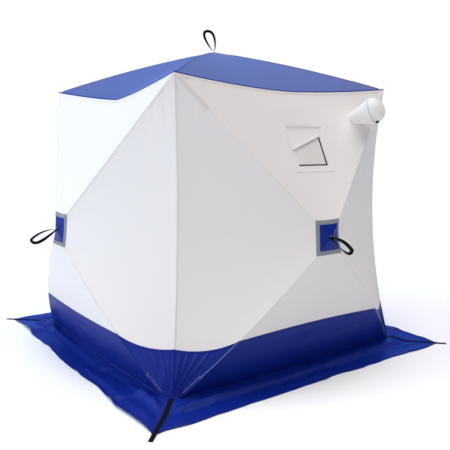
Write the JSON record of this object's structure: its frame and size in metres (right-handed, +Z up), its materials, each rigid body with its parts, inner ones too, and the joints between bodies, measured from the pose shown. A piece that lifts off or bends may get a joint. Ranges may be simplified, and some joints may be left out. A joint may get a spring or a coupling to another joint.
{
  "type": "pop-up cube ice fishing shelter",
  "caption": "Pop-up cube shelter for ice fishing: cloth walls and roof pushed out by sprung hubs and poles, with a band and skirt at the foot, pull loops, a window, a vent and a zipped door.",
  "frame": {"origin": "on the ice at the middle of the floor", "axes": "+Z up, -Y out of the front wall (the one with the window and the vent), +X to its right"},
  "size_m": [2.668, 2.668, 2.172],
  "materials": {
    "white_cloth": "coated woven polyester, white",
    "blue_cloth": "coated woven polyester, blue",
    "roof_cloth": "coated woven polyester, blue, lighter in the sun",
    "grey_cloth": "grey woven border",
    "webbing": "black woven webbing",
    "hub_plastic": "black moulded plastic",
    "pole": "glass-fibre rod, black",
    "window_film": "frosted film",
    "zip": "black tape"
  },
  "bodies": {
    "root": {"roof_cloth": "roof_cloth", "front_wall": "white_cloth", "right_wall": "white_cloth", "back_wall": "white_cloth", "left_wall": "white_cloth", "front_band": "blue_cloth", "right_band": "blue_cloth", "back_band": "blue_cloth", "left_band": "blue_cloth", "front_skirt": "blue_cloth", "right_skirt": "blue_cloth", "back_skirt": "blue_cloth", "left_skirt": "blue_cloth", "front_hub_patch": "blue_cloth", "right_hub_patch": "blue_cloth", "back_hub_patch": "blue_cloth", "left_hub_patch": "blue_cloth", "roof_hub_patch": "roof_cloth", "hub_borders": "grey_cloth", "front_pull_loop": "webbing", "right_pull_loop": "webbing", "back_pull_loop": "webbing", "left_pull_loop": "webbing", "roof_pull_loop": "webbing", "front_hub": "hub_plastic", "right_hub": "hub_plastic", "back_hub": "hub_plastic", "left_hub": "hub_plastic", "roof_hub": "hub_plastic", "front_poles": "pole", "right_poles": "pole", "back_poles": "pole", "left_poles": "pole", "roof_poles": "pole", "upper_pole_sleeves": "white_cloth", "lower_pole_sleeves": "blue_cloth", "roof_pole_sleeves": "roof_cloth", "corner_straps": "webbing", "window_pane": "window_film", "window_flap": "white_cloth", "window_tape": "zip", "vent_hood": "white_cloth", "door_panel": "white_cloth", "door_zip": "zip"}
  },
  "joints": []
}
